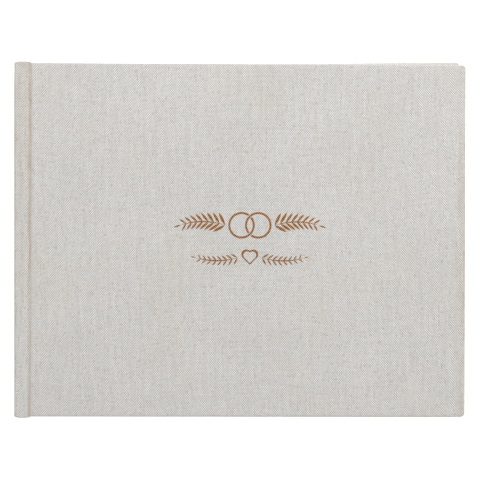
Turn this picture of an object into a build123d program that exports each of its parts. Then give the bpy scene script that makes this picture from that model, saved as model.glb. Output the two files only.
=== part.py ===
from build123d import *
import math
import os

# A case-bound landscape guest book, closed and lying on its back cover.
# Millimetres. +X runs to the fore edge, +Y to the head, +Z up through the front cover.
# The origin is on the resting plane, midway between the spine and the fore edge and between head and tail.

# --- driving dimensions ---
BOOK_WIDTH = 280.0
BOOK_THICKNESS = 20.0
COVER_HEIGHT = 219.0
CLOTH = 0.4
BOARD = 2.4
PASTEDOWN = 0.25
MULL = 0.4
LINING = 0.3
FLYLEAF = 0.2
JOINT_WIDTH = 8.0
TURN_IN = 15.0
MULL_WING = 25.0
SQUARE = 3.2
SECTION_COUNT = 10
LEAF_GAP = 0.06
BLOCK_CLEARANCE = 0.1
MARGIN_WIDTH = 9.1
MARGIN_GAP = 0.1
FRONT_SKEW = -0.2
BACK_SKEW = 0.55
CORNER_RADIUS = 2.6
BOARD_CORNER_RADIUS = 2.2
EDGE_SOFTENING = 0.3

# --- the book's main planes ---
SPINE_X = -BOOK_WIDTH / 2
FORE_X = BOOK_WIDTH / 2
SPINE_BOARD_INNER_X = SPINE_X + CLOTH + BOARD
BOARD_HINGE_X = SPINE_BOARD_INNER_X + JOINT_WIDTH
HALF_COVER = COVER_HEIGHT / 2
HALF_BLOCK = HALF_COVER - SQUARE
BLOCK_FORE_X = FORE_X - SQUARE
COVER_THICKNESS = 2 * CLOTH + BOARD
BLOCK_BOTTOM_Z = COVER_THICKNESS + PASTEDOWN + BLOCK_CLEARANCE
BLOCK_TOP_Z = BOOK_THICKNESS - BLOCK_BOTTOM_Z
BLOCK_THICKNESS = BLOCK_TOP_Z - BLOCK_BOTTOM_Z
SECTION = (BLOCK_THICKNESS - 2 * FLYLEAF - (SECTION_COUNT + 1) * LEAF_GAP) / SECTION_COUNT

# --- layers behind the spine board, from outside to inside ---
HOLLOW_CLEARANCE = 0.1
LINING_X = SPINE_BOARD_INNER_X + CLOTH + HOLLOW_CLEARANCE
MULL_X = LINING_X + LINING
FOLD_X = MULL_X + MULL
LEAF_X = FOLD_X + MARGIN_WIDTH + MARGIN_GAP

# --- joints of the cloth, between the spine board and the cover boards ---
JOINT_BULGE = 1.0
JOINT_SHOULDER_DROP = 0.4
JOINT_LIP_DROP = 1.0
GROOVE_DEPTH = 2.0
GROOVE_SLOPE = 0.8
FRONT_JOINT_END_X = BOARD_HINGE_X - 1.4
BACK_JOINT_END_X = BOARD_HINGE_X - 2.0
HALF_MULL = HALF_COVER - CLOTH - TURN_IN - 1.0
MULL_SHOULDER = 4.6

# --- head and tail bands, and thread ---
BAND_BEAD_RADIUS = 0.85
BAND_TAPE_LENGTH = 11.0
THREAD_RADIUS = 0.25
KERF_DEPTH = 0.9
KERF_WIDTH = 1.0
STATION_PITCH = 40.0
STATION_COUNT = 5

# --- foil ornament on the front cover ---
FOIL_X = 5.9
FOIL_RINGS_Y = 9.3
FOIL_HEART_Y = -10.9
FOIL_THICKNESS = 0.04
RING_RADIUS = 8.2
RING_STROKE = 1.2
RING_OFFSET = 5.2
CROSSING_GAP = 0.45
SPRIG_START = 15.4
SPRIG_LENGTH = 27.5
SPRIG_RISE = 2.2
SPRIG_PAIRS = 8
SPRIG_LEAF = 8.6
SPRIG_TIP_LEAF = 4.6
GARLAND_START = 7.6
GARLAND_LENGTH = 26.0
GARLAND_RISE = -1.8
GARLAND_PAIRS = 8
GARLAND_LEAF = 5.0
GARLAND_TIP_LEAF = 3.2
STEM_THICKNESS = 0.8
LEAF_SPREAD = 46.0
LEAF_PLUMPNESS = 0.21
HEART_SIZE = 10.4
HEART_STROKE = 1.2


def block(x0, x1, y0, y1, z0, z1):
    """A box between two corners."""
    return Pos((x0 + x1) / 2, (y0 + y1) / 2, (z0 + z1) / 2) * Box(x1 - x0, y1 - y0, z1 - z0)


def mirror_up(shape):
    """The same shape upside down in the book's mid-plane: back cover pieces become front ones."""
    return mirror(shape, about=Plane.XY.offset(BOOK_THICKNESS / 2))


def skew(shape, angle):
    """A cover sits in the case at a small angle, turned about the middle of its hinge edge."""
    pivot = Pos(BOARD_HINGE_X, 0, 0)
    return pivot * Rot(0, 0, angle) * pivot.inverse() * shape


def fore_corners(shape):
    """The two upright edges at the fore-edge corners."""
    return shape.edges().filter_by(Axis.Z).sort_by(Axis.X)[-2:]


# --- covers: the back cover is built flat, the front one is its mirror image ---

def cover_board():
    half = HALF_COVER - CLOTH
    board = block(BOARD_HINGE_X, FORE_X - CLOTH, -half, half, CLOTH, CLOTH + BOARD)
    return fillet(fore_corners(board), BOARD_CORNER_RADIUS)


def cover_cloth():
    """Cloth over the outer face and all four edges, turned in on three sides."""
    hinge_x = BOARD_HINGE_X - CLOTH
    wrap = block(hinge_x, FORE_X, -HALF_COVER, HALF_COVER, 0, COVER_THICKNESS)
    wrap = fillet(fore_corners(wrap), CORNER_RADIUS)
    wrap = fillet(wrap.faces().sort_by(Axis.Z)[0].edges(), EDGE_SOFTENING)
    window_half = HALF_COVER - CLOTH - TURN_IN
    window_x = FORE_X - CLOTH - TURN_IN
    window = block(hinge_x, window_x, -window_half, window_half, CLOTH + BOARD, COVER_THICKNESS)
    return wrap - cover_board() - window


def cover_mull_wing():
    """The mull's glued wing on the board's inner face."""
    return block(BOARD_HINGE_X, BOARD_HINGE_X + MULL_WING, -HALF_MULL, HALF_MULL,
                 CLOTH + BOARD, CLOTH + BOARD + MULL)


def cover_pastedown():
    """Endpaper half that lies on the turn-ins and sinks onto the board between them."""
    top = COVER_THICKNESS + PASTEDOWN
    inner_half = HALF_COVER - CLOTH - TURN_IN
    inner_x0 = BOARD_HINGE_X + MULL_WING
    inner_x1 = FORE_X - CLOTH - TURN_IN
    rim = block(BOARD_HINGE_X, BLOCK_FORE_X, -HALF_BLOCK, HALF_BLOCK, COVER_THICKNESS, top)
    sunk = block(inner_x0, inner_x1, -inner_half, inner_half, CLOTH + BOARD, top)
    hollow = block(inner_x0 + PASTEDOWN, inner_x1 - PASTEDOWN, -inner_half + PASTEDOWN,
                   inner_half - PASTEDOWN, CLOTH + BOARD + PASTEDOWN, top)
    return rim + sunk - hollow


def make_back_cover():
    return {
        "back_board": skew(cover_board(), BACK_SKEW),
        "back_cover_cloth": skew(cover_cloth(), BACK_SKEW),
        "back_mull_wing": skew(cover_mull_wing(), BACK_SKEW),
        "back_pastedown": skew(cover_pastedown(), BACK_SKEW),
    }


def make_front_cover():
    foil = extrude(Pos(0, 0, BOOK_THICKNESS) * foil_drawing(), FOIL_THICKNESS)
    return {
        "front_board": skew(mirror_up(cover_board()), FRONT_SKEW),
        "front_cover_cloth": skew(mirror_up(cover_cloth()), FRONT_SKEW),
        "front_mull_wing": skew(mirror_up(cover_mull_wing()), FRONT_SKEW),
        "front_pastedown": skew(mirror_up(cover_pastedown()), FRONT_SKEW),
        "foil_ornament": skew(foil, FRONT_SKEW),
    }


# --- foil ornament: flat drawing on the front cover ---

def annulus(radius, stroke):
    return Circle(radius) - Circle(radius - stroke)


def linked_rings():
    """Two rings, each passing over the other once."""
    wide = annulus(RING_RADIUS + CROSSING_GAP, RING_STROKE + 2 * CROSSING_GAP)
    reach = 2 * RING_RADIUS
    upper = Pos(0, reach / 2) * Rectangle(RING_RADIUS, reach)
    lower = Pos(0, -reach / 2) * Rectangle(RING_RADIUS, reach)
    left = Pos(-RING_OFFSET, 0)
    right = Pos(RING_OFFSET, 0)
    left_ring = left * annulus(RING_RADIUS, RING_STROKE) - (right * wide & upper)
    right_ring = right * annulus(RING_RADIUS, RING_STROKE) - (left * wide & lower)
    return left_ring + right_ring


def lens(length, bulge_up, bulge_down):
    """A shape between two arcs from (0, 0) to (length, 0)."""
    upper = ThreePointArc((0, 0), (length / 2, bulge_up), (length, 0))
    lower = ThreePointArc((length, 0), (length / 2, bulge_down), (0, 0))
    return make_face([upper, lower])


def sprig(start, length, rise, pairs, leaf_length, tip_length):
    """A curved stem with pairs of leaves that grow smaller to its tip."""
    half_stem = STEM_THICKNESS / 2
    drawing = Pos(start, 0) * lens(length, rise + half_stem, rise - half_stem)
    for pair in range(pairs + 1):
        along = pair / pairs
        x = start + length * along
        y = 4 * rise * along * (1 - along)
        heading = math.degrees(math.atan2(4 * rise * (1 - 2 * along), length))
        size = leaf_length + (tip_length - leaf_length) * along
        bulge = size * LEAF_PLUMPNESS / 2
        turns = [0] if pair == pairs else [LEAF_SPREAD, -LEAF_SPREAD]
        for turn in turns:
            drawing += Pos(x, y) * Rot(0, 0, heading + turn) * lens(size, bulge, -bulge)
    return drawing


def solid_heart(size):
    """A square stood on its corner with a half circle on each upper side."""
    side = size / (1 + math.sqrt(0.5))
    lobe = side / (2 * math.sqrt(2))
    square = Rot(0, 0, 45) * Rectangle(side, side)
    return square + Pos(lobe, lobe) * Circle(side / 2) + Pos(-lobe, lobe) * Circle(side / 2)


def foil_drawing():
    large = sprig(SPRIG_START, SPRIG_LENGTH, SPRIG_RISE, SPRIG_PAIRS, SPRIG_LEAF, SPRIG_TIP_LEAF)
    small = sprig(GARLAND_START, GARLAND_LENGTH, GARLAND_RISE, GARLAND_PAIRS, GARLAND_LEAF,
                  GARLAND_TIP_LEAF)
    heart = solid_heart(HEART_SIZE) - solid_heart(HEART_SIZE - 2 * HEART_STROKE)
    rings_row = linked_rings() + large + mirror(large, about=Plane.YZ)
    heart_row = heart + small + mirror(small, about=Plane.YZ)
    return Pos(FOIL_X, FOIL_RINGS_Y) * rings_row + Pos(FOIL_X, FOIL_HEART_Y) * heart_row


# --- spine of the case ---

def joint_profile(end_x):
    """Cloth over half the spine and one joint, cut across the book, back cover side."""
    shoulder_x = SPINE_BOARD_INNER_X
    lip_x = end_x - GROOVE_SLOPE
    groove_x = end_x - GROOVE_SLOPE / 2
    outer = [
        (SPINE_X, BOOK_THICKNESS / 2),
        (SPINE_X, 0),
        (shoulder_x, 0),
        ((shoulder_x + lip_x) / 2, JOINT_SHOULDER_DROP),
        (lip_x, JOINT_LIP_DROP),
        (groove_x, GROOVE_DEPTH),
        (end_x, GROOVE_DEPTH),
    ]
    inner = [
        (end_x, GROOVE_DEPTH + CLOTH),
        (groove_x - CLOTH, GROOVE_DEPTH + CLOTH),
        (lip_x - CLOTH, JOINT_LIP_DROP + CLOTH),
        ((shoulder_x + lip_x) / 2, JOINT_SHOULDER_DROP + CLOTH),
        (shoulder_x, CLOTH),
        (SPINE_X + CLOTH, CLOTH),
        (SPINE_X + CLOTH, BOOK_THICKNESS / 2),
    ]
    return outer + inner


def prism(points, half_length):
    """An outline in the XZ plane, drawn out equally to head and tail."""
    outline = Plane.XZ * make_face(Polyline(*points, close=True))
    return extrude(outline, half_length, both=True)


def spine_cloth():
    """Cloth around the spine board and over both joints, turned in at head and tail."""
    half_board = HALF_COVER - CLOTH
    back_half = prism(joint_profile(BACK_JOINT_END_X), HALF_COVER)
    front_half = mirror_up(prism(joint_profile(FRONT_JOINT_END_X), HALF_COVER))
    cloth = back_half + front_half
    for side in (-1, 1):
        y0, y1 = sorted((side * half_board, side * HALF_COVER))
        cloth += block(SPINE_X, SPINE_BOARD_INNER_X + CLOTH, y0, y1, 0, BOOK_THICKNESS)
        y0, y1 = sorted((side * (half_board - TURN_IN), side * HALF_COVER))
        cloth += block(SPINE_BOARD_INNER_X, SPINE_BOARD_INNER_X + CLOTH, y0, y1,
                       CLOTH, BOOK_THICKNESS - CLOTH)
        cloth += joint_roll(side, BACK_JOINT_END_X)
        cloth += mirror_up(joint_roll(side, FRONT_JOINT_END_X))
    return cloth


def joint_roll(side, end_x):
    """The joint's folded end: with no board inside it, it stands out at head and tail."""
    lip_x = end_x - GROOVE_SLOPE
    middle_x = (SPINE_BOARD_INNER_X + lip_x) / 2
    outline = [
        (SPINE_BOARD_INNER_X, 0),
        (middle_x, JOINT_SHOULDER_DROP),
        (lip_x, JOINT_LIP_DROP),
        (lip_x, JOINT_LIP_DROP + 2 * CLOTH),
        (middle_x, JOINT_SHOULDER_DROP + 2 * CLOTH),
        (SPINE_BOARD_INNER_X, 2 * CLOTH),
    ]
    roll = prism(outline, (TURN_IN + JOINT_BULGE) / 2)
    return Pos(0, side * (HALF_COVER + (JOINT_BULGE - TURN_IN) / 2), 0) * roll


def make_case_spine():
    half = HALF_COVER - CLOTH
    spine_board = block(SPINE_X + CLOTH, SPINE_BOARD_INNER_X, -half, half, CLOTH, BOOK_THICKNESS - CLOTH)
    return {"spine_board": spine_board, "spine_cloth": spine_cloth()}


# --- bound edge of the page block ---

def section_bottom(number):
    """Height of the underside of a section, counted from 1 at the top."""
    below = SECTION_COUNT - number
    return BLOCK_BOTTOM_Z + FLYLEAF + LEAF_GAP + below * (SECTION + LEAF_GAP)


def station_places():
    first = -STATION_PITCH * (STATION_COUNT - 1) / 2
    return [first + STATION_PITCH * index for index in range(STATION_COUNT)]


def section_folds():
    """The folded backs of the sections, each notched for the thread at every station."""
    folds = []
    for number in range(1, SECTION_COUNT + 1):
        z0 = section_bottom(number)
        fold = block(FOLD_X, FOLD_X + MARGIN_WIDTH, -HALF_BLOCK, HALF_BLOCK, z0, z0 + SECTION)
        for y in station_places():
            fold -= block(FOLD_X, FOLD_X + KERF_DEPTH, y - KERF_WIDTH / 2, y + KERF_WIDTH / 2,
                          z0, z0 + SECTION)
        folds.append(fold)
    return Compound(children=[fold.solid() for fold in folds])


def endpaper_folds():
    """The fixed folds of both endpapers, tipped to the first and last sections."""
    lower = block(FOLD_X, FOLD_X + MARGIN_WIDTH, -HALF_BLOCK, HALF_BLOCK,
                  BLOCK_BOTTOM_Z, BLOCK_BOTTOM_Z + FLYLEAF)
    return Compound(children=[lower.solid(), mirror_up(lower).solid()])


def sewing_threads():
    """A thread inside every section's fold, and at each station the link that joins the sections."""
    stations = station_places()
    length = stations[-1] - stations[0]
    bottom = section_bottom(SECTION_COUNT)
    top = section_bottom(1) + SECTION
    threads = []
    for y in stations:
        link = Cylinder(THREAD_RADIUS, top - bottom)
        threads.append(Pos(FOLD_X + KERF_DEPTH / 2, y, (bottom + top) / 2) * link)
    for number in range(1, SECTION_COUNT + 1):
        z = section_bottom(number) + SECTION / 2
        run = Rot(90, 0, 0) * Cylinder(THREAD_RADIUS, length)
        threads.append(Pos(FOLD_X + KERF_DEPTH + THREAD_RADIUS, 0, z) * run)
    return Compound(children=[thread.solid() for thread in threads])


def mull():
    """Gauze over the backs of the sections and a little way over the block's shoulders."""
    end_x = FOLD_X + MULL_SHOULDER
    outer = block(MULL_X, end_x, -HALF_MULL, HALF_MULL, BLOCK_BOTTOM_Z - MULL, BLOCK_TOP_Z + MULL)
    return outer - block(FOLD_X, end_x, -HALF_MULL, HALF_MULL, BLOCK_BOTTOM_Z, BLOCK_TOP_Z)


def end_band(side):
    """A woven bead on the end of the block's back, with its glued tape."""
    bead_x = MULL_X + BAND_BEAD_RADIUS + MULL
    tape_start = HALF_BLOCK - BAND_TAPE_LENGTH
    bead_y = HALF_BLOCK + BAND_BEAD_RADIUS
    bead = Pos(bead_x, side * bead_y, BOOK_THICKNESS / 2) * Cylinder(BAND_BEAD_RADIUS, BLOCK_THICKNESS)
    y0, y1 = sorted((side * tape_start, side * bead_y))
    tape = block(MULL_X, MULL_X + MULL, y0, y1, BLOCK_BOTTOM_Z, BLOCK_TOP_Z)
    foot = block(MULL_X, bead_x, *sorted((side * HALF_BLOCK, side * bead_y)), BLOCK_BOTTOM_Z, BLOCK_TOP_Z)
    return bead + tape + foot


def make_bound_edge():
    lining_half = HALF_BLOCK - 1.0
    return {
        "section_folds": section_folds(),
        "endpaper_folds": endpaper_folds(),
        "sewing_threads": sewing_threads(),
        "mull": mull(),
        "spine_lining": block(LINING_X, MULL_X, -lining_half, lining_half, BLOCK_BOTTOM_Z, BLOCK_TOP_Z),
        "head_band": end_band(1),
        "tail_band": end_band(-1),
    }


# --- leaves ---

def leaf(z0, thickness):
    return block(LEAF_X, BLOCK_FORE_X, -HALF_BLOCK, HALF_BLOCK, z0, z0 + thickness)


def make_leaves():
    leaves = {
        "front_flyleaf": leaf(BLOCK_TOP_Z - FLYLEAF, FLYLEAF),
        "back_flyleaf": leaf(BLOCK_BOTTOM_Z, FLYLEAF),
    }
    for number in range(1, SECTION_COUNT + 1):
        leaves[f"leaf_section_{number:02d}"] = leaf(section_bottom(number), SECTION)
    return leaves


def main():
    parts = {}
    for make in (make_case_spine, make_bound_edge, make_front_cover, make_back_cover, make_leaves):
        parts.update(make())
    os.makedirs("parts", exist_ok=True)
    for name, shape in parts.items():
        export_step(shape, f"parts/{name}.step")


main()
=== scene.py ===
import math
import random
from collections import namedtuple

import bmesh
import bpy
import numpy as np
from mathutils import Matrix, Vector


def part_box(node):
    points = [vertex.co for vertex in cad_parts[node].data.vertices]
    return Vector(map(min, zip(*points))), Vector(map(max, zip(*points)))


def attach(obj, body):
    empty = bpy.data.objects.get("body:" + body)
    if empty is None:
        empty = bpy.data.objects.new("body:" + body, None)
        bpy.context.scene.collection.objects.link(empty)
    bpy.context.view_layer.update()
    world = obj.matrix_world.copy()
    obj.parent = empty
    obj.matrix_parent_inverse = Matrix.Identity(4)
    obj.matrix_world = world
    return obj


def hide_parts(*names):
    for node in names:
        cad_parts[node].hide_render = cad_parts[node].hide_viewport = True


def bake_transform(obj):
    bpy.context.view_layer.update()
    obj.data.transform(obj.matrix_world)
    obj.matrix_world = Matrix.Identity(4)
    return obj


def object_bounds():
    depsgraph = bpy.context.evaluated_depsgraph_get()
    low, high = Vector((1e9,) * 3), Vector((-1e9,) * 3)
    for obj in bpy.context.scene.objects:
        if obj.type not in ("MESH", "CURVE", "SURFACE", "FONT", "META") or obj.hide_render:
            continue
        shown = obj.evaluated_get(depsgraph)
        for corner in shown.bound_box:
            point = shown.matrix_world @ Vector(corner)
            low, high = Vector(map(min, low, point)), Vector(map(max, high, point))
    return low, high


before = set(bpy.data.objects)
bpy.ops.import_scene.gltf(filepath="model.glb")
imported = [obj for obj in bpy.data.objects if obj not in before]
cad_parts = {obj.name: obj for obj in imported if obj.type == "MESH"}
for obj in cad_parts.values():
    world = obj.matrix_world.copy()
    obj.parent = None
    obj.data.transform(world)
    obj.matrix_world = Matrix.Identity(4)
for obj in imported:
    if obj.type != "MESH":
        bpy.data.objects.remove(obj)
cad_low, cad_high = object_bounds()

MM = 0.001

# Cloth over the boards
CLOTH = 0.4 * MM
CLOTH_SHELL = 0.9 * CLOTH  # the visible cloth stays just clear of the boards
TURN_IN = 15 * MM
COVER_CORNER = 2.6 * MM
COVER_EDGE = 0.75 * MM
ARC_STEPS = 4  # in each half of a rounded corner
EDGE_STEPS = 4  # across a rounded edge
EDGE_SHARES = (0.35, 0.5, 0.65)  # rings on the flat middle of an edge
FOLD_INSETS = (2 * MM, COVER_CORNER, 5 * MM, 9 * MM, 12 * MM, TURN_IN)
CLOTH_GRID = 3 * MM
CLOTH_SAG = 0.03 * MM
SAG_START = 4 * MM
SAG_RISE = 12 * MM
SAG_MARGIN = 9 * MM
MERGE_DISTANCE = 0.004 * MM

# Cloth round the spine
SPINE_EDGE = 1.25 * MM
SPINE_EDGE_STEPS = 6
SPINE_BACK_CELL = 1.5 * MM
SPINE_RIM = 0.8 * MM
SPINE_RIM_STEPS = 10
SPINE_FOLD_INSET = 5 * MM
SEAM_SETBACK = 1.2 * MM  # from the spine's shoulder back to the cut between spine and cover cloth
SEAM_CELL = 0.05 * MM  # narrow cells on both sides of that cut keep its shading even

# Cloth over the joints, by the distance past the spine's shoulder
SHOULDER_BEFORE = -0.2 * MM
SHOULDER_AFTER = 0.4 * MM
SHOULDER_CELL = 1.2 * MM
JOINT_START = 4 * MM
JOINT_CELL = 0.33 * MM
JOINT_END = 9 * MM
JOINT_SINK = 0.15 * MM
SINK_RISE = 5 * MM
SINK_FALL = 2.7 * MM
GROOVE_X = 6.3 * MM
GROOVE_REACH = 2.3 * MM
GROOVE_DEPTH = 0.55 * MM

# How far the cloth stands out past the boards at head and tail. The places are measured from the
# board's hinge edge, and the board lies on their positive side.
SPINE_BULGE = 0.5 * MM
JOINT_BULGE = 0.8 * MM
BULGE_RISE = 1.6 * MM
BULGE_FALL = 2.0 * MM
BULGE_END = -0.9 * MM
SPINE_BULGE_START = -1.5 * MM
SPINE_BULGE_FALL = 1.8 * MM
BOARD_RISE = 1.2 * MM  # over which the cloth's underside comes down to the board's inner side

# Weave of the book cloth
WARP_PITCH = 0.684 * MM
WEFT_PITCH = 0.786 * MM
WEFT_BOW = 0.5  # times the square of the distance from the cover's middle, in metres
WARP_SWAY = 0.5 * MM
WEFT_SWAY = 0.7 * MM

# Depth of the relief of each material
THREAD_RELIEF = 0.16 * MM
SLUB_RELIEF = 0.045 * MM
FIBRE_RELIEF = 0.02 * MM
FOIL_RELIEF = 0.1 * MM
PAPER_RELIEF = 0.02 * MM
BOARD_RELIEF = 0.05 * MM
KRAFT_RELIEF = 0.03 * MM
GAUZE_RELIEF = 0.1 * MM
TWIST_RELIEF = 0.04 * MM
SILK_RELIEF = 0.03 * MM

# Stain and painted shade of the book cloth
GROOVE_U = -1.3 * MM  # middle of the painted shade in the joint's groove, from the board's hinge edge
GROOVE_SHADE = (0.4 * MM, 1.8 * MM)  # from full to none, on both sides
SPINE_EDGE_SHADE = (0.7 * MM, 2.0 * MM)
FORE_SHADE = 9 * MM
TAIL_SHADE = 1.5 * MM

# Paper
SECTION_COUNT = 10
SHEETS_PER_SECTION = 4
LEAF_GAP = 0.012 * MM
TRIM_SPREAD = 0.07 * MM
CURL_REACH = 34 * MM
CURL_MARGIN = 2 * MM
CURL_CELL = 1.6 * MM
MARGIN_CELL = 4 * MM
FLAT_CELL = 22 * MM
LENGTH_CELL = 26 * MM
FOLD_STEPS = 8
SHEET_SHIFT = 3  # moves the fibres along from one sheet to the next

# Endpapers
ENDPAPER = 0.2 * MM
ENDPAPER_SHELL = 0.05 * MM
ENDPAPER_SINK = 0.8  # how far it follows the step between turn-in and board
PASTE_CELL = 8 * MM
STEP_WIDTH = 0.9 * MM
STEP_CLOSE = 1.56 * MM  # reach of the close stations on both sides of a step
STEP_CLEAR = 3 * MM  # reach in which they take the place of the even ones
STEP_STATIONS = 9
STRIP_START = 2 * MM  # from the backs of the folds
STRIP_CELL = 0.4 * MM
STRIP_RISE_START = -1.5 * MM
STRIP_RISE = 1.7 * MM
STRIP_END = 0.2 * MM
STRIP_GAP = 0.03 * MM
MULL_WING = 25 * MM

# End bands, thread and gauze
BEAD_RADIUS = 0.85 * MM
BEAD_SIDES = 20
BEAD_GROOVE = 0.14  # share of the radius between two turns of the silk
BAND_WRAP = 0.42 * MM
WRAPS_PER_COLOUR = 3
WRAP_STEPS = 6
TAPE = 0.35 * MM
TAPE_CELL = 1 * MM
THREAD_TWIST = 0.45 * MM
GAUZE_PITCH = 1.1 * MM

SHARP_ANGLE = math.radians(40)

# Sockets of a Mix node for colours
MIX_SHARE = 0
MIX_FIRST = 6
MIX_SECOND = 7
MIX_RESULT = 2

# Camera and studio
VIEW_DISTANCE = 1.0
VIEW_TILT = math.radians(1.1)
VIEW_TARGET = (-0.22 * MM, -0.31 * MM)
SENSOR = 36.0
IMAGE_WIDTH_M = 0.2976
FLOOR_REACH = 12.0
FLOOR_DROP = 0.05 * MM
FLOOR_GREY = 0.94
FLOOR_ROUGHNESS = 0.9
FLOOR_GLOW = 0.55
WHITE = (1, 1, 1, 1)
SKY_STRENGTH = 0.58
KEY_PLACE = (0.45, 1.25, 1.55)
KEY_SIZE = 1.17
KEY_WATTS = 38.8

seeds = random.Random(7)


# --- the CAD model's own measures ---

def smooth_step(t):
    t = np.clip(t, 0, 1)
    return t * t * (3 - 2 * t)


def mesh_points(node):
    return np.array([v.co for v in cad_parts[node].data.vertices], float)


class Cover:
    """A cover's own axes: x from its board's hinge edge to the fore edge, y to the head."""

    def __init__(self, board, cloth):
        points = mesh_points(board)
        ends = [points[points[:, 1] * side > 0] for side in (-1, 1)]
        tail, head = [end[end[:, 0].argmin()] for end in ends]
        self.angle = math.atan2(tail[0] - head[0], head[1] - tail[1])
        self.pivot = np.array([(tail[0] + head[0]) / 2, (tail[1] + head[1]) / 2])
        local = self.to_local(points)
        self.half = local[:, 1].max()
        self.width = local[:, 0].max()
        self.board_low = points[:, 2].min()
        self.board_high = points[:, 2].max()
        wrap = self.to_local(mesh_points(cloth))
        self.wrap_half = wrap[:, 1].max()
        self.wrap_width = wrap[:, 0].max()
        self.wrap_low = wrap[:, 2].min()
        self.wrap_high = wrap[:, 2].max()

    def turn(self, points, angle):
        """Points turned about the middle of the hinge edge, by one angle or one for each point."""
        c, s = np.cos(angle), np.sin(angle)
        x, y = points[:, 0], points[:, 1]
        return np.stack([x * c - y * s, x * s + y * c, points[:, 2]], axis=1)

    def to_local(self, points):
        moved = points - np.array([*self.pivot, 0])
        return self.turn(moved, -self.angle)

    def to_frame(self, points, square_before=None):
        """Cover points in the shared frame. What lies before square_before keeps the spine's direction."""
        share = np.ones(len(points))
        if square_before is not None:
            share = smooth_step((points[:, 0] - square_before) / -square_before)
        return self.turn(points, self.angle * share) + np.array([*self.pivot, 0])


front = Cover("front_board", "front_cover_cloth")
back = Cover("back_board", "back_cover_cloth")
_, spine_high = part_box("spine_board")
case_low, case_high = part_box("spine_cloth")
block_low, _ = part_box("section_folds")
leaf_low, leaf_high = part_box("front_flyleaf")
mid_z = (case_low.z + case_high.z) / 2


# --- mesh making ---

def make_object(name, points, faces, uvs=None):
    """A mesh object. uvs holds one pair in metres for each point, on the flat cloth or paper."""
    mesh = bpy.data.meshes.new(name)
    mesh.from_pydata([tuple(p) for p in points], [], faces)
    mesh.validate()
    if uvs is not None:
        layer = mesh.uv_layers.new(name="flat")
        for loop in mesh.loops:
            layer.data[loop.index].uv = uvs[loop.vertex_index]
    mesh.polygons.foreach_set("use_smooth", [True] * len(mesh.polygons))
    mesh.set_sharp_from_angle(angle=SHARP_ANGLE)
    mesh.update()
    obj = bpy.data.objects.new(name, mesh)
    bpy.context.scene.collection.objects.link(obj)
    return obj


def grid_faces(rows, columns, first=0, flip=False):
    """Quads between rows of points that are stored one row after another."""
    faces = []
    for r in range(rows - 1):
        for c in range(columns - 1):
            a = first + r * columns + c
            quad = (a, a + 1, a + columns + 1, a + columns)
            faces.append(quad[::-1] if flip else quad)
    return faces


def even(start, end, step):
    count = max(1, round(abs(end - start) / step))
    return np.linspace(start, end, count + 1)


def thicken(obj, thickness):
    """Turns a surface into a closed sheet, on the side away from its normals."""
    shell = obj.modifiers.new("thickness", "SOLIDIFY")
    shell.thickness = thickness
    shell.offset = -1
    shell.use_quality_normals = True
    solid = bpy.data.meshes.new_from_object(obj.evaluated_get(bpy.context.evaluated_depsgraph_get()))
    obj.modifiers.clear()
    solid.set_sharp_from_angle(angle=SHARP_ANGLE)
    obj.data = solid


# --- book cloth ---

def joint_depth(x):
    """How deep the cloth lies in the joint, x past the spine's shoulder."""
    sink = JOINT_SINK * smooth_step(x / SINK_RISE) * smooth_step((JOINT_END - x) / SINK_FALL)
    off = np.clip((x - GROOVE_X) / GROOVE_REACH, -1, 1)
    return sink + GROOVE_DEPTH * (1 + math.cos(math.pi * off)) / 2


def joint_stations(cover, outward):
    """(x, z) of the cloth's outer face from behind the spine's shoulder to the cover's hinge edge.

    x is in the cover's axes, and outward is +1 for the front cover and -1 for the back."""
    top = case_high.z if outward > 0 else case_low.z
    shoulder = spine_high.x - cover.pivot[0]
    places = [-SEAM_SETBACK, SEAM_CELL - SEAM_SETBACK, SHOULDER_BEFORE]
    places += list(even(SHOULDER_AFTER, JOINT_START, SHOULDER_CELL))
    places += list(even(JOINT_START, JOINT_END, JOINT_CELL)[1:])
    return [(shoulder + x, top - outward * joint_depth(x)) for x in places]


def joint_excess():
    """How much longer the front cloth's way over the joint is than the straight way."""
    path = np.array(joint_stations(front, 1))
    return np.linalg.norm(np.diff(path, axis=0), axis=1).sum() - (path[-1, 0] - path[0, 0])


# A place on the rim of a cover: its anchor and outward direction, the heights of the cloth's face and
# underside there, its place in the flat cloth, and which way the cloth goes on over the edge.
Spot = namedtuple("Spot", "x y dx dy rounded z under half u v fold_u fold_v")


def rim_spots(cover, xs, ys, zs, unders, half, along):
    """Places from the joint's tail end round the fore edge to the joint's head end."""
    corner_x = xs[-1]
    top, under = zs[-1], unders[-1]
    full = cover.wrap_half
    tail, head = [], []
    for spots, side in ((tail, -1), (head, 1)):
        for i, x in enumerate(xs):
            spots.append(Spot(x, side * (half[i] - COVER_CORNER), 0, side, False, zs[i], unders[i],
                              half[i], along[i], side * (full - COVER_CORNER), 0, side))
        for turns, fold in ((range(1, ARC_STEPS + 1), (0, side)),
                            (range(ARC_STEPS, 2 * ARC_STEPS), (1, 0))):
            for turn in turns:
                angle = math.pi / 4 * turn / ARC_STEPS
                spots.append(Spot(corner_x, side * ys[-1], math.sin(angle), side * math.cos(angle), True,
                                  top, under, full, along[-1], side * ys[-1], *fold))
    fore = [Spot(corner_x, y, 1, 0, False, top, under, full, along[-1], y, 1, 0) for y in ys]
    return tail + fore + head[::-1]


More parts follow.
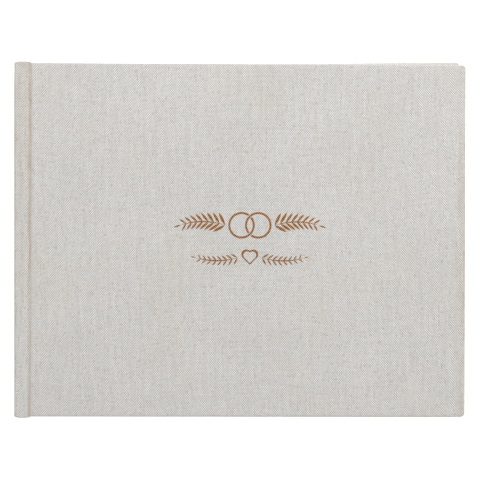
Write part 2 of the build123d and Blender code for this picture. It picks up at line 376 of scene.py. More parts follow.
def rim_rings(deep):
    """(inset, share of the way to the underside, distance past the outline in the flat cloth)."""
    edge = COVER_EDGE
    quarter = [math.pi / 2 * k / EDGE_STEPS for k in range(EDGE_STEPS + 1)]
    rings = [(COVER_CORNER, 0.0, -COVER_CORNER)]
    for a in quarter:
        rings.append((edge * (1 - math.sin(a)), edge * (1 - math.cos(a)) / deep, edge * (a - 1)))
    for share in EDGE_SHARES:
        rings.append((0.0, share, share * deep))
    for a in quarter:
        rings.append((edge * (1 - math.cos(a)), 1 - edge * (1 - math.sin(a)) / deep, deep + edge * (a - 1)))
    for inset in FOLD_INSETS:
        rings.append((inset, 1.0, deep + inset))
    return rings


def rim_point(cover, spot, ring):
    """A rim place's point and its place in the flat cloth, with mitred corners inside the rounding."""
    inset, share, travel = ring
    reach = COVER_CORNER - inset
    if spot.rounded:
        reach = max(reach, 0)
    x, y = spot.x + spot.dx * reach, spot.y + spot.dy * reach
    if inset > COVER_CORNER:
        limit = spot.half - inset
        x, y = min(x, cover.wrap_width - inset), max(-limit, min(limit, y))
    on_face, folded = COVER_CORNER + min(travel, 0), max(travel, 0)
    u = spot.u + spot.dx * on_face + spot.fold_u * folded
    v = spot.v + spot.dy * on_face + spot.fold_v * folded
    return (x, y, spot.z + (spot.under - spot.z) * share), (u, v)


def cover_cloth(name, cover, outward):
    """Cloth from the spine over the joint and the board, turned in on three sides, and its flat size."""
    top = cover.wrap_high if outward > 0 else cover.wrap_low
    under = cover.wrap_low if outward > 0 else cover.wrap_high
    stations = joint_stations(cover, outward)
    board_xs = even(stations[-1][0], cover.wrap_width - COVER_CORNER, CLOTH_GRID)[1:]
    xs = np.array([x for x, _ in stations] + list(board_xs))
    zs = np.array([z for _, z in stations] + [top] * len(board_xs))
    ys = even(COVER_CORNER - cover.wrap_half, cover.wrap_half - COVER_CORNER, CLOTH_GRID)
    along = np.concatenate([[0], np.cumsum(np.hypot(np.diff(xs), np.diff(zs)))]) + xs[0]

    joint_share = smooth_step((xs - xs[0]) / BULGE_RISE) * smooth_step((BULGE_END - xs) / BULGE_FALL)
    half = cover.wrap_half + SPINE_BULGE + (JOINT_BULGE - SPINE_BULGE) * joint_share
    half -= SPINE_BULGE * smooth_step((xs - SPINE_BULGE_START) / SPINE_BULGE_FALL)
    board_share = smooth_step((xs + BOARD_RISE) / BOARD_RISE)
    unders = (zs - outward * 2 * CLOTH) * (1 - board_share) + under * board_share

    points, uvs = [], []
    for y in ys:
        for i, x in enumerate(xs):
            points.append((x, y * half[i] / cover.wrap_half, zs[i]))
            uvs.append((along[i], y))
    faces = grid_faces(len(ys), len(xs), flip=outward < 0)
    spots = rim_spots(cover, xs, ys, zs, unders, half, along)
    deep = abs(top - under)
    rings = rim_rings(deep)
    first = len(points)
    for ring in rings:
        for spot in spots:
            point, uv = rim_point(cover, spot, ring)
            points.append(point)
            uvs.append(uv)
    faces += grid_faces(len(rings), len(spots), first, flip=outward > 0)

    points = np.array(points)
    points[:, 2] += outward * sag(points, cover)
    placed = cover.to_frame(points, square_before=xs[0])
    obj = make_object(name, placed, faces, uvs)
    merge_points(obj)
    thicken(obj, CLOTH_SHELL)
    folded = deep + TURN_IN
    return obj, (along[-1] - along[0] + COVER_CORNER + folded, 2 * (cover.wrap_half + folded))


def sag(points, cover):
    """A slight unevenness of the glued cloth over the board, in waves about 120 mm and 40 mm long."""
    x, y = points[:, 0], points[:, 1]
    waves = np.sin(x * 61 + 1.3) * np.sin(y * 47 + 0.4) + 0.6 * np.sin(x * 137 + y * 93)
    inside = smooth_step((x - SAG_START) / SAG_RISE)
    inside = inside * smooth_step((cover.wrap_half - abs(y)) / SAG_MARGIN)
    return -CLOTH_SAG * (1 + waves / 1.6) / 2 * inside


def merge_points(obj):
    """Joins the points that fall together and drops the faces that vanish with them."""
    bm = bmesh.new()
    bm.from_mesh(obj.data)
    bmesh.ops.remove_doubles(bm, verts=bm.verts, dist=MERGE_DISTANCE)
    bmesh.ops.dissolve_degenerate(bm, edges=bm.edges, dist=MERGE_DISTANCE)
    bmesh.ops.delete(bm, geom=[v for v in bm.verts if not v.link_faces], context="VERTS")
    bm.to_mesh(obj.data)
    bm.free()


def spine_cloth(name):
    """Cloth round the spine board between the two cover cloths, turned over its ends, and its flat size.

    Every row is the outline outer, drawn in towards the spine board's inner face by its share q."""
    seam_x = joint_stations(front, 1)[0][0] + front.pivot[0]
    outer_x, inner_x = case_low.x, spine_high.x + CLOTH
    low, high = case_low.z, case_high.z
    r = SPINE_EDGE
    quarter = np.linspace(0, math.pi / 2, SPINE_EDGE_STEPS + 1)
    outer = [(seam_x, low), (seam_x - SEAM_CELL, low)]
    outer += [(outer_x + r - r * math.sin(a), low + r - r * math.cos(a)) for a in quarter]
    outer += [(outer_x, z) for z in even(low + r, high - r, SPINE_BACK_CELL)[1:-1]]
    outer += [(outer_x + r - r * math.cos(a), high - r + r * math.sin(a)) for a in quarter]
    outer += [(seam_x - SEAM_CELL, high), (seam_x, high)]
    outer = np.array(outer)
    inner = np.stack([np.full(len(outer), inner_x), np.clip(outer[:, 1], low + CLOTH, high - CLOTH)], axis=1)
    along = np.concatenate([[0], np.cumsum(np.linalg.norm(np.diff(outer, axis=0), axis=1))])
    across = seam_x - front.pivot[0] + along - along[-1]
    end = front.wrap_half + SPINE_BULGE
    rim = SPINE_RIM
    over = [(end - TURN_IN, 1.0), (end - SPINE_FOLD_INSET, 1.0)]
    for a in np.linspace(0, math.pi, SPINE_RIM_STEPS + 1):
        over.append((end - rim + rim * math.sin(a), (1 + math.cos(a)) / 2))
    middle = [(y, 0.0) for y in even(end - rim, rim - end, CLOTH_GRID)[1:-1]]
    rows = over + middle + [(-y, q) for y, q in reversed(over)]
    path = np.array([(y, q * (inner_x - outer_x)) for y, q in rows])
    down = np.concatenate([[0], np.cumsum(np.linalg.norm(np.diff(path, axis=0), axis=1))])
    down -= down[-1] / 2
    points, uvs = [], []
    for (y, q), v in zip(rows, -down):
        ring = outer * (1 - q) + inner * q
        for (x, z), u in zip(ring, across):
            points.append((x, y, z))
            uvs.append((u, v))
    obj = make_object(name, points, grid_faces(len(rows), len(outer), flip=True), uvs)
    thicken(obj, CLOTH_SHELL)
    return obj, (along[-1], 2 * down[-1])


# --- paper ---

def paper_slab(name, outlines, trims):
    """Sheets cut across the book as closed outlines in the XZ plane, drawn out from tail to head."""
    points, faces, uvs = [], [], []
    for outline, (tail, head) in zip(outlines, trims):
        ys = even(tail, head, LENGTH_CELL)
        count = len(outline)
        first = len(points)
        for y in ys:
            for x, z in outline:
                points.append((x, y, z))
                uvs.append((x + SHEET_SHIFT * z, y))
        for row in range(len(ys) - 1):
            for k in range(count):
                a = first + row * count + k
                b = first + row * count + (k + 1) % count
                faces.append((a, a + count, b + count, b))
        half = count // 2
        for row, flip in ((0, False), (len(ys) - 1, True)):
            base = first + row * count
            for k in range(half - 1):
                quad = (base + k, base + k + 1, base + count - 2 - k, base + count - 1 - k)
                faces.append(quad[::-1] if flip else quad)
    return make_object(name, points, faces, uvs)


def leaf_stations(start, end):
    """Places across a leaf, close together where it bends by the spine."""
    bend = even(leaf_low.x - CURL_MARGIN, leaf_low.x + CURL_REACH + CURL_MARGIN, CURL_CELL)
    before = even(start, bend[0], MARGIN_CELL)[:-1]
    after = even(bend[-1], end, FLAT_CELL)[1:]
    return np.concatenate([before, bend, after])


def folded_sheet(low, high, thickness, fore_low, fore_high):
    """Outline of a sheet folded at the spine: a lower leaf, a fold and an upper leaf."""
    back_x = block_low.x
    middle = (low + high) / 2
    radius = (high - low) / 2
    inner = radius - thickness
    centre = back_x + radius
    turn = np.linspace(-math.pi / 2, -3 * math.pi / 2, FOLD_STEPS + 1)[1:-1]
    lower = leaf_stations(centre, fore_low)
    upper = leaf_stations(centre, fore_high)
    outside = [(x, low) for x in lower[::-1]]
    outside += [(centre + radius * math.cos(a), middle + radius * math.sin(a)) for a in turn]
    outside += [(x, high) for x in upper]
    inside = [(x, high - thickness) for x in upper[::-1]]
    inside += [(centre + inner * math.cos(a), middle + inner * math.sin(a)) for a in turn[::-1]]
    inside += [(x, low + thickness) for x in lower]
    return outside + inside


def leaf_section(name, node):
    low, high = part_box(node)
    pitch = (high.z - low.z) / (2 * SHEETS_PER_SECTION)
    thickness = pitch - LEAF_GAP
    outlines, trims = [], []
    for sheet in range(SHEETS_PER_SECTION):
        fore = [high.x + seeds.uniform(-TRIM_SPREAD, 0) for _ in range(2)]
        outlines.append(folded_sheet(low.z + sheet * pitch, high.z - sheet * pitch, thickness, *fore))
        trims.append((low.y + seeds.uniform(0, TRIM_SPREAD), high.y - seeds.uniform(0, TRIM_SPREAD)))
    return paper_slab(name, outlines, trims)


def flyleaf(name, node):
    low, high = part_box(node)
    xs = leaf_stations(block_low.x, high.x)
    outline = [(x, low.z) for x in xs[::-1]] + [(x, high.z) for x in xs]
    return paper_slab(name, [outline], [(low.y, high.y)])


def endpaper(name, cover, outward):
    """The half of the endpaper that is glued into the cover, with the strip that crosses the joint."""
    board = cover.board_low if outward > 0 else cover.board_high
    face = mid_z + outward * (leaf_high.z - mid_z)
    rest = cover.wrap_low if outward > 0 else cover.wrap_high
    window_half = cover.half - TURN_IN
    window_end = cover.width - TURN_IN
    local_end = leaf_high.x - cover.pivot[0]
    half = leaf_high.y
    strip = even(block_low.x + STRIP_START - cover.pivot[0], STRIP_END, STRIP_CELL)[:-1]
    xs = list(strip) + list(step_stations(STRIP_END, local_end, (MULL_WING, window_end)))
    ys = step_stations(-half, half, (-window_half, window_half))
    points, uvs = [], []
    for y in ys:
        for x in xs:
            sunk = smooth_step((x - MULL_WING) / STEP_WIDTH) * smooth_step((window_end - x) / STEP_WIDTH)
            sunk *= smooth_step((window_half - abs(y)) / STEP_WIDTH)
            on_board = rest + (board - rest) * sunk * ENDPAPER_SINK
            visible = on_board - outward * ENDPAPER
            strip_z = face + outward * STRIP_GAP
            share = smooth_step((x - STRIP_RISE_START) / STRIP_RISE)
            points.append((x, y, strip_z + (visible - strip_z) * share))
            uvs.append((x, y))
    placed = cover.to_frame(np.array(points), square_before=xs[0])
    obj = make_object(name, placed, grid_faces(len(ys), len(xs), flip=outward > 0), uvs)
    thicken(obj, ENDPAPER_SHELL)
    return obj


def step_stations(start, end, marks):
    """Even places from start to end, with close ones around each mark."""
    places = list(even(start, end, PASTE_CELL))
    for mark in marks:
        places = [p for p in places if abs(p - mark) > STEP_CLEAR or p in (start, end)]
        places += list(np.linspace(mark - STEP_CLOSE, mark + STEP_CLOSE, STEP_STATIONS))
    return np.array(sorted(p for p in places if start <= p <= end))


# --- end bands ---

def tube_faces(rings, around, first=0):
    """Quads round a tube whose rings of points are stored one after another, with a face on each end."""
    faces = []
    for i in range(rings - 1):
        for k in range(around):
            a = first + i * around + k
            b = first + i * around + (k + 1) % around
            faces.append((a, b, b + around, a + around))
    last = first + (rings - 1) * around
    faces.append(tuple(range(first, first + around))[::-1])
    faces.append(tuple(range(last, last + around)))
    return faces


def end_band(name, node, side):
    """A bead wrapped with silk, standing on the end of its tape."""
    low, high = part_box(node)
    centre_x = high.x - BEAD_RADIUS
    centre_y = (high.y if side > 0 else low.y) - side * BEAD_RADIUS
    heights = even(low.z, high.z, BAND_WRAP / WRAP_STEPS)
    points = []
    for z in heights:
        rib = abs(math.sin(math.pi * (z - low.z) / BAND_WRAP))
        r = BEAD_RADIUS * (1 - BEAD_GROOVE + BEAD_GROOVE * rib)
        for k in range(BEAD_SIDES):
            a = 2 * math.pi * k / BEAD_SIDES
            points.append((centre_x + r * math.cos(a), centre_y + r * math.sin(a), z))
    faces = tube_faces(len(heights), BEAD_SIDES)
    first = len(points)
    ys = even(low.y if side > 0 else high.y, centre_y, TAPE_CELL)
    for y in ys:
        for x, z in ((low.x, low.z), (low.x + TAPE, low.z), (low.x + TAPE, high.z), (low.x, high.z)):
            points.append((x, y, z))
    tape = tube_faces(len(ys), 4, first)
    faces += [face[::-1] for face in tape] if side > 0 else tape
    return make_object(name, points, faces, [(p[0], p[2]) for p in points])


# --- materials ---

class Shader:
    """A node material that is built by small calls."""

    def __init__(self, name):
        self.material = bpy.data.materials.new(name)
        self.material.use_nodes = True
        self.tree = self.material.node_tree
        self.surface = self.tree.nodes["Principled BSDF"]

    def link(self, value, socket):
        if hasattr(value, "is_linked"):
            self.tree.links.new(value, socket)
        else:
            socket.default_value = value

    def node(self, kind, **settings):
        made = self.tree.nodes.new(kind)
        for key, value in settings.items():
            setattr(made, key, value)
        return made

    def math(self, operation, *values):
        made = self.node("ShaderNodeMath", operation=operation)
        for value, socket in zip(values, made.inputs):
            self.link(value, socket)
        return made.outputs[0]

    def scaled(self, value, factor):
        return self.math("MULTIPLY", value, factor)

    def near(self, value, middle, start, end, top=1.0):
        """top within start of the middle, fading to nothing at end."""
        return self.ramp(self.math("ABSOLUTE", self.math("SUBTRACT", value, middle)), start, end, top, 0.0)

    def ramp(self, value, low, high, to_low=0.0, to_high=1.0):
        """value from low..high to to_low..to_high, smoothly and clamped."""
        made = self.node("ShaderNodeMapRange", interpolation_type="SMOOTHSTEP")
        for item, key in ((value, "Value"), (low, "From Min"), (high, "From Max"),
                          (to_low, "To Min"), (to_high, "To Max")):
            self.link(item, made.inputs[key])
        return made.outputs["Result"]

    def mix(self, share, first, second, blend="MIX"):
        made = self.node("ShaderNodeMix", data_type="RGBA", blend_type=blend)
        self.link(share, made.inputs[MIX_SHARE])
        self.link(first, made.inputs[MIX_FIRST])
        self.link(second, made.inputs[MIX_SECOND])
        return made.outputs[MIX_RESULT]

    def flat_uv(self):
        split = self.node("ShaderNodeSeparateXYZ")
        self.link(self.node("ShaderNodeUVMap", uv_map="flat").outputs["UV"], split.inputs[0])
        return split.outputs[0], split.outputs[1]

    def position(self):
        return self.node("ShaderNodeTexCoord").outputs["Object"]

    def axes(self):
        split = self.node("ShaderNodeSeparateXYZ")
        self.link(self.position(), split.inputs[0])
        return split.outputs

    def vector(self, x, y, z=0.0):
        made = self.node("ShaderNodeCombineXYZ")
        for value, socket in zip((x, y, z), made.inputs):
            self.link(value, socket)
        return made.outputs[0]

    def noise(self, where, scale, detail, roughness=0.5):
        made = self.node("ShaderNodeTexNoise")
        self.link(where, made.inputs["Vector"])
        made.inputs["Scale"].default_value = scale
        made.inputs["Detail"].default_value = detail
        made.inputs["Roughness"].default_value = roughness
        return made.outputs["Fac"]

    def cell(self, where):
        """An even random number for each whole-numbered cell."""
        made = self.node("ShaderNodeTexWhiteNoise", noise_dimensions="2D")
        self.link(where, made.inputs["Vector"])
        return made.outputs["Value"]

    def bump(self, height, strength):
        """A relief of the surface, with its height in metres."""
        made = self.node("ShaderNodeBump")
        made.inputs["Strength"].default_value = strength
        made.inputs["Distance"].default_value = 1.0
        self.link(height, made.inputs["Height"])
        self.link(made.outputs["Normal"], self.surface.inputs["Normal"])

    def finish(self, color, roughness, **fixed):
        self.link(color, self.surface.inputs["Base Color"])
        self.link(roughness, self.surface.inputs["Roughness"])
        for key, value in fixed.items():
            self.surface.inputs[key.replace("_", " ")].default_value = value
        return self.material


def srgb(r, g, b):
    """A linear colour from 8-bit sRGB numbers."""
    def linear(c):
        c /= 255
        return c / 12.92 if c <= 0.04045 else ((c + 0.055) / 1.055) ** 2.4
    return (linear(r), linear(g), linear(b), 1.0)


def plain_weave(s, u, v):
    """The threads at a place in the flat cloth.

    warp and weft count threads, number is the whole part of that, sq is the squared distance from the
    thread's middle, 1 at its edge, and odd is 0 where the warp lies on top and 1 where the weft does."""
    where = s.vector(u, v)
    warp_sway = s.math("SUBTRACT", s.noise(where, scale=60, detail=2), 0.5)
    weft_sway = s.math("SUBTRACT", s.noise(s.vector(v, u, 0.3), scale=45, detail=2), 0.5)
    from_middle = s.math("SUBTRACT", u, front.wrap_width / 2)
    bow = s.scaled(s.math("MULTIPLY", from_middle, from_middle), -WEFT_BOW)
    u_swayed = s.math("MULTIPLY_ADD", warp_sway, WARP_SWAY, u)
    v_swayed = s.math("MULTIPLY_ADD", weft_sway, WEFT_SWAY, s.math("ADD", v, bow))
    weave = {"where": where}
    for name, place, pitch in (("warp", u_swayed, WARP_PITCH), ("weft", v_swayed, WEFT_PITCH)):
        thread = s.math("DIVIDE", place, pitch)
        across = s.math("SUBTRACT", s.scaled(s.math("FRACT", thread), 2.0), 1.0)
        weave[name] = thread
        weave[name + "_number"] = s.math("FLOOR", thread)
        weave[name + "_sq"] = s.math("MULTIPLY", across, across)
    total = s.math("ADD", weave["warp_number"], weave["weft_number"])
    weave["odd"] = s.math("ABSOLUTE", s.math("MODULO", total, 2.0))
    return weave


def by_top_thread(s, w, warp_value, weft_value):
    """The warp's value where the warp lies on top, and the weft's where the weft does."""
    return s.math("MULTIPLY_ADD", s.math("SUBTRACT", weft_value, warp_value), w["odd"], warp_value)


def thread_height(s, w):
    """Rounded threads that dive under their neighbours, from 0 to 1."""
    def hill(across, along):
        round_top = s.math("SUBTRACT", 1.0, s.math("POWER", across, 1.5))
        dive = s.math("SUBTRACT", 1.0, s.scaled(along, 0.55))
        return s.math("MULTIPLY", round_top, dive)
    return by_top_thread(s, w, hill(w["warp_sq"], w["weft_sq"]), hill(w["weft_sq"], w["warp_sq"]))


def along_threads(s, w, apart, pace, detail):
    """Noise that differs from thread to thread and changes slowly along each, for warp and weft."""
    tones = []
    for number, along in (("warp_number", "weft"), ("weft_number", "warp")):
        where = s.vector(s.scaled(w[number], apart), s.scaled(w[along], pace))
        tones.append(s.noise(where, scale=1.0, detail=detail))
    return tones


def painted_shade_and_stain(s, u, v):
    """How much the cloth is darkened and tinted: painted shade in the groove, along the spine's rounded
    edge, towards the fore edge and along the tail, and a stain on the joint towards the head.
    """
    half = front.wrap_half
    # painted shade: warm darkening in the joint's groove, stronger towards the head
    more_at_head = s.ramp(v, -half, 0.8 * half, 0.6, 1.1)
    groove = s.math("MULTIPLY", s.near(u, GROOVE_U, *GROOVE_SHADE), more_at_head)
    only_at_head = s.ramp(v, -half, half, 0.0, 0.4)
    strip = s.math("MULTIPLY", s.ramp(u, GROOVE_U - MM, GROOVE_U, 1.0, 0.0), only_at_head)
    # painted shade along the spine's rounded edge
    spine_edge = s.near(u, case_low.x - front.pivot[0], *SPINE_EDGE_SHADE, top=0.6)
    # painted shade towards the fore edge, fading towards the head
    less_at_head = s.ramp(v, 0.3 * half, half, 1.0, 0.15)
    fore = s.ramp(u, front.wrap_width - FORE_SHADE, front.wrap_width, 0.0, 0.5)
    fore = s.math("MULTIPLY", fore, less_at_head)
    # painted shade along the tail edge
    tail = s.ramp(v, -half, TAIL_SHADE - half, 0.2, 0.0)
    shade_and_stain = groove
    for part in (strip, spine_edge, fore, tail):
        shade_and_stain = s.math("MAXIMUM", shade_and_stain, part)
    stretched = s.vector(s.scaled(u, 420.0), s.scaled(v, 55.0))
    streaks = s.noise(stretched, scale=1.0, detail=3, roughness=0.6)
    return s.math("MULTIPLY", shade_and_stain, s.ramp(streaks, 0.35, 0.75, 0.25, 1.0))


def book_cloth():
    """Plain-woven linen: pale warp, duller weft, tan slubs, painted shade in the hollows between the
    threads, a stain on the joint towards the head, and painted shade in the groove, along the spine's edge,
    towards the fore edge and along the tail.
    """
    s = Shader("book_cloth")
    u, v = s.flat_uv()
    w = plain_weave(s, u, v)
    height = thread_height(s, w)
    warp_tone, weft_tone = along_threads(s, w, apart=5.37, pace=0.035, detail=1)
    slub_warp, slub_weft = along_threads(s, w, apart=7.31, pace=0.22, detail=3)
    slub = by_top_thread(s, w, slub_warp, s.math("SUBTRACT", slub_weft, 0.04))

    mottle = s.noise(s.vector(v, u, 0.7), scale=28, detail=2)
    dullness = s.math("MULTIPLY_ADD", mottle, 0.11, -0.19)
    cell_tone = s.cell(s.vector(w["warp_number"], w["weft_number"]))
    for tone, weight in ((weft_tone, 0.18), (warp_tone, 0.27), (cell_tone, 0.14), (w["odd"], 0.68)):
        dullness = s.math("MULTIPLY_ADD", tone, weight, dullness)
    pale = srgb(231, 230, 228)
    dull = srgb(159, 157, 153)
    hollow_shade = srgb(122, 116, 108)
    tan = srgb(181, 160, 133)
    cloud_tan = srgb(196, 178, 158)
    # tint of the painted shade and of the stain on the joint
    shade_and_stain_tint = srgb(226, 206, 184)
    color = s.mix(dullness, pale, dull)
    # painted shade: the colour goes towards hollow_shade where the threads dip low between their neighbours
    color = s.mix(s.ramp(height, 0.0, 0.45, 0.6, 0.0), color, hollow_shade)
    color = s.mix(s.ramp(slub, 0.53, 0.74, 0.0, 0.65), color, tan)
    cloud = s.noise(w["where"], scale=16, detail=3, roughness=0.6)
    color = s.mix(s.ramp(cloud, 0.45, 0.75, 0.0, 0.12), color, cloud_tan)
    # painted shade in the groove, along the spine's edge, towards the fore edge and along the tail, and the
    # stain on the joint
    color = s.mix(painted_shade_and_stain(s, u, v), color, shade_and_stain_tint, "MULTIPLY")

    fibre = s.noise(s.vector(w["warp"], w["weft"]), scale=9.0, detail=2)
    relief = s.scaled(height, THREAD_RELIEF)
    relief = s.math("MULTIPLY_ADD", slub, SLUB_RELIEF, relief)
    relief = s.math("MULTIPLY_ADD", fibre, FIBRE_RELIEF, relief)
    s.bump(relief, strength=0.9)
    roughness = s.ramp(fibre, 0.2, 0.8, 0.82, 0.96)
    return s.finish(color, roughness, Sheen_Weight=0.08, Specular_IOR_Level=0.2)


def paper(name, color, tint):
    """Uncoated paper: fine fibres, a faint cloudiness and a soft tooth."""
    s = Shader(name)
    where = s.vector(*s.flat_uv())
    fibres = s.noise(where, scale=2600, detail=3, roughness=0.65)
    cloud = s.noise(where, scale=38, detail=3, roughness=0.6)
    share = s.math("MULTIPLY_ADD", fibres, 0.35, s.scaled(cloud, 0.3))
    s.bump(s.scaled(fibres, PAPER_RELIEF), strength=0.5)
    roughness = s.ramp(fibres, 0.2, 0.8, 0.8, 0.95)
    return s.finish(s.mix(share, color, tint), roughness, Specular_IOR_Level=0.2)


def greyboard():
    """Pressed grey pulp with dark specks."""
    s = Shader("greyboard")
    where = s.position()
    grain = s.noise(where, scale=900, detail=4, roughness=0.7)
    specks = s.ramp(s.noise(where, scale=1500, detail=2), 0.62, 0.72)
    color = s.mix(grain, srgb(150, 143, 132), srgb(184, 177, 165))
    color = s.mix(specks, color, srgb(96, 90, 84))
    s.bump(s.scaled(grain, BOARD_RELIEF), strength=0.6)
    return s.finish(color, s.ramp(grain, 0.2, 0.8, 0.82, 0.96))


def kraft_paper():
    """Brown paper with coarse fibres."""
    s = Shader("kraft_paper")
    fibres = s.noise(s.position(), scale=1400, detail=4, roughness=0.7)
    color = s.mix(fibres, srgb(150, 112, 76), srgb(190, 152, 112))
    s.bump(s.scaled(fibres, KRAFT_RELIEF), strength=0.6)
    return s.finish(color, s.ramp(fibres, 0.2, 0.8, 0.7, 0.9))


def gauze():
    """Open starched gauze: pale threads over the glue between them."""
    s = Shader("gauze")
    lines = []
    for axis in s.axes():
        wave = s.math("SINE", s.scaled(axis, 2 * math.pi / GAUZE_PITCH))
        lines.append(s.ramp(wave, 0.1, 0.7))
    threads = s.math("MAXIMUM", s.math("MAXIMUM", lines[0], lines[1]), lines[2])
    color = s.mix(threads, srgb(176, 162, 136), srgb(232, 227, 214))
    s.bump(s.scaled(threads, GAUZE_RELIEF), strength=0.8)
    return s.finish(color, s.ramp(threads, 0.0, 1.0, 0.6, 0.92))


def sewing_thread():
    """Linen thread with its plies twisted together, with painted shade in the grooves between the plies."""
    s = Shader("sewing_thread")
    x, y, z = s.axes()
    along = s.math("ADD", s.math("ADD", x, y), z)
    twist = s.math("SINE", s.scaled(along, 2 * math.pi / THREAD_TWIST))
    # painted shade: the thread is darker where the twist's relief is low, in the grooves between the plies
    color = s.mix(s.ramp(twist, -1.0, 1.0), srgb(196, 190, 178), srgb(238, 234, 224))
    s.bump(s.scaled(twist, TWIST_RELIEF), strength=0.8)
    return s.finish(color, s.ramp(twist, -1.0, 1.0, 0.65, 0.85))


def band_thread():
    """Two colours of silk wrapped round the bead in turn."""
    s = Shader("band_thread")
    wraps = s.math("DIVIDE", s.math("SUBTRACT", s.axes()[2], block_low.z), BAND_WRAP)
    turns = s.math("FLOOR", s.math("DIVIDE", wraps, WRAPS_PER_COLOUR))
    second_colour = s.math("MODULO", turns, 2.0)
    fibres = s.noise(s.position(), scale=3000, detail=2)
    light = s.mix(fibres, srgb(236, 230, 216), srgb(248, 244, 234))
    dark = s.mix(fibres, srgb(176, 146, 112), srgb(200, 170, 136))
    s.bump(s.scaled(fibres, SILK_RELIEF), strength=0.6)
    return s.finish(s.mix(second_colour, light, dark), s.ramp(fibres, 0.2, 0.8, 0.4, 0.65))


def copper_foil():
    """Hot-stamped foil over the cloth's threads, with painted shade in the hollows, duller where the weft
    lies on top, and thin on the tops.
    """
    s = Shader("copper_foil")
    x, y, _ = s.axes()
    x = s.math("SUBTRACT", x, front.pivot[0])
    y = s.math("SUBTRACT", y, front.pivot[1])
    cosine, sine = math.cos(front.angle), math.sin(front.angle)
    u = s.math("MULTIPLY_ADD", x, cosine, s.math("MULTIPLY_ADD", y, sine, joint_excess()))
    v = s.math("MULTIPLY_ADD", y, cosine, s.scaled(x, -sine))
    w = plain_weave(s, u, v)
    height = thread_height(s, w)
    patches = s.noise(s.position(), scale=900, detail=3, roughness=0.6)
    shade = s.math("MULTIPLY_ADD", w["odd"], -0.65, s.math("MULTIPLY_ADD", patches, 0.6, height))
    dark = srgb(50, 19, 2)
    copper = srgb(206, 138, 66)
    worn = srgb(208, 172, 130)
    # painted shade: the foil goes dark brown where the threads dip low; the same brown marks the duller foil
    # where the weft lies on top
    color = s.mix(s.ramp(shade, 0.24, 1.14), dark, copper)
    color = s.mix(s.ramp(shade, 1.0, 1.3, 0.0, 0.7), color, worn)
    relief = s.math("MULTIPLY_ADD", height, FOIL_RELIEF, s.scaled(patches, FIBRE_RELIEF))
    s.bump(relief, strength=0.6)
    return s.finish(color, s.ramp(patches, 0.25, 0.75, 0.36, 0.54), Metallic=0.85)


# --- putting the book together ---

def give(obj, material):
    obj.data.materials.clear()
    obj.data.materials.append(material)


def hinge_blend(obj):
    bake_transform(obj)


def make_cloth(material):
    panels = [("front_cloth", front, 1, "front_cover", "front_cover_cloth", "front_board"),
              ("back_cloth", back, -1, "back_cover", "back_cover_cloth", "back_board")]
    for name, cover, outward, body, node, board in panels:
        obj, flat = cover_cloth(name, cover, outward)
        give(obj, material)
        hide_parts(node)
        hinge_blend(obj)
    obj, flat = spine_cloth("spine_wrap")
    give(obj, material)
    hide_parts("spine_cloth")
    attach(obj, "spine")


def make_paper(leaf_material, end_material):
    for number in range(1, SECTION_COUNT + 1):
        node = f"leaf_section_{number:02d}"
        obj = leaf_section(node.replace("leaf_", "sewn_"), node)
        give(obj, leaf_material)
        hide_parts(node, "section_folds")
        hinge_blend(obj)
    for node in ("front_flyleaf", "back_flyleaf"):
        obj = flyleaf(node.replace("flyleaf", "free_endpaper"), node)
        give(obj, end_material)
        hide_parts(node, "endpaper_folds")
        hinge_blend(obj)
    for side, cover, outward in (("front", front, 1), ("back", back, -1)):
        obj = endpaper(f"{side}_endpaper", cover, outward)
        give(obj, end_material)
        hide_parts(f"{side}_pastedown")
        hinge_blend(obj)


def make_bands(material):
    for node, side in (("head_band", 1), ("tail_band", -1)):
        obj = end_band(f"{node}_bead", node, side)
        give(obj, material)
        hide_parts(node)
        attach(obj, "spine")


def finish_cad_nodes():
    looks = {
        "greyboard": (greyboard(), ["spine_board", "front_board", "back_board"]),
        "gauze": (gauze(), ["mull", "front_mull_wing", "back_mull_wing"]),
        "kraft_paper": (kraft_paper(), ["spine_lining"]),
        "thread": (sewing_thread(), ["sewing_threads"]),
        "copper_foil": (copper_foil(), ["foil_ornament"]),
    }
    for slot, (material, nodes) in looks.items():
        for node in nodes:
            give(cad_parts[node], material)


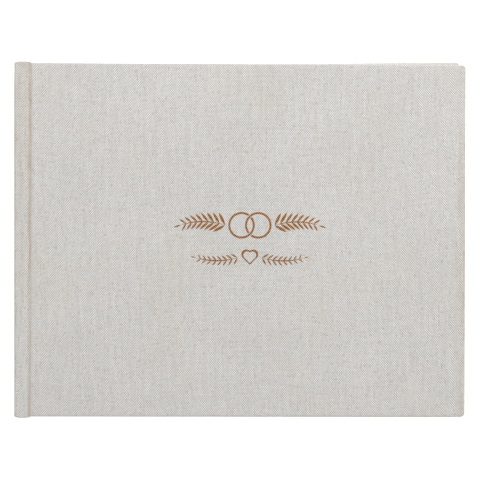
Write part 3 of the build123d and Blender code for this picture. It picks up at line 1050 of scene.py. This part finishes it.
# --- studio ---

def make_floor():
    r = FLOOR_REACH
    floor = make_object("studio_floor", [(-r, -r, 0), (r, -r, 0), (r, r, 0), (-r, r, 0)], [(0, 1, 2, 3)])
    floor.location.z = cad_low.z - FLOOR_DROP
    grey = (FLOOR_GREY, FLOOR_GREY, FLOOR_GREY, 1)
    material = Shader("studio_floor").finish(grey, FLOOR_ROUGHNESS, Emission_Color=WHITE,
                                             Emission_Strength=FLOOR_GLOW)
    floor.data.materials.append(material)


def add_area_light(name, place, target, size, watts):
    data = bpy.data.lights.new(name, "AREA")
    data.shape = "DISK"
    data.size = size
    data.energy = watts
    lamp = bpy.data.objects.new(name, data)
    bpy.context.scene.collection.objects.link(lamp)
    lamp.location = place
    lamp.rotation_euler = (Vector(target) - Vector(place)).to_track_quat("-Z", "Y").to_euler()


def make_lights():
    world = bpy.data.worlds.new("studio")
    bpy.context.scene.world = world
    world.use_nodes = True
    background = world.node_tree.nodes["Background"]
    background.inputs["Color"].default_value = WHITE
    background.inputs["Strength"].default_value = SKY_STRENGTH
    add_area_light("key", KEY_PLACE, (0, 0, 0), KEY_SIZE, KEY_WATTS)


def make_camera():
    data = bpy.data.cameras.new("camera")
    data.sensor_width = SENSOR
    data.lens = SENSOR * VIEW_DISTANCE / IMAGE_WIDTH_M
    camera = bpy.data.objects.new("camera", data)
    bpy.context.scene.collection.objects.link(camera)
    target = Vector((*VIEW_TARGET, cad_high.z))
    camera.location = target + VIEW_DISTANCE * Vector((-math.sin(VIEW_TILT), 0, math.cos(VIEW_TILT)))
    camera.rotation_euler = (0, -VIEW_TILT, 0)
    bpy.context.scene.camera = camera


make_camera()
make_lights()
make_floor()
make_cloth(book_cloth())
make_paper(paper("leaf_paper", srgb(219, 216, 207), srgb(201, 196, 185)),
           paper("endpaper", srgb(217, 213, 203), srgb(198, 191, 178)))
make_bands(band_thread())
finish_cad_nodes()

scene = bpy.context.scene
scene.view_settings.view_transform = "Standard"
scene.view_settings.look = "None"
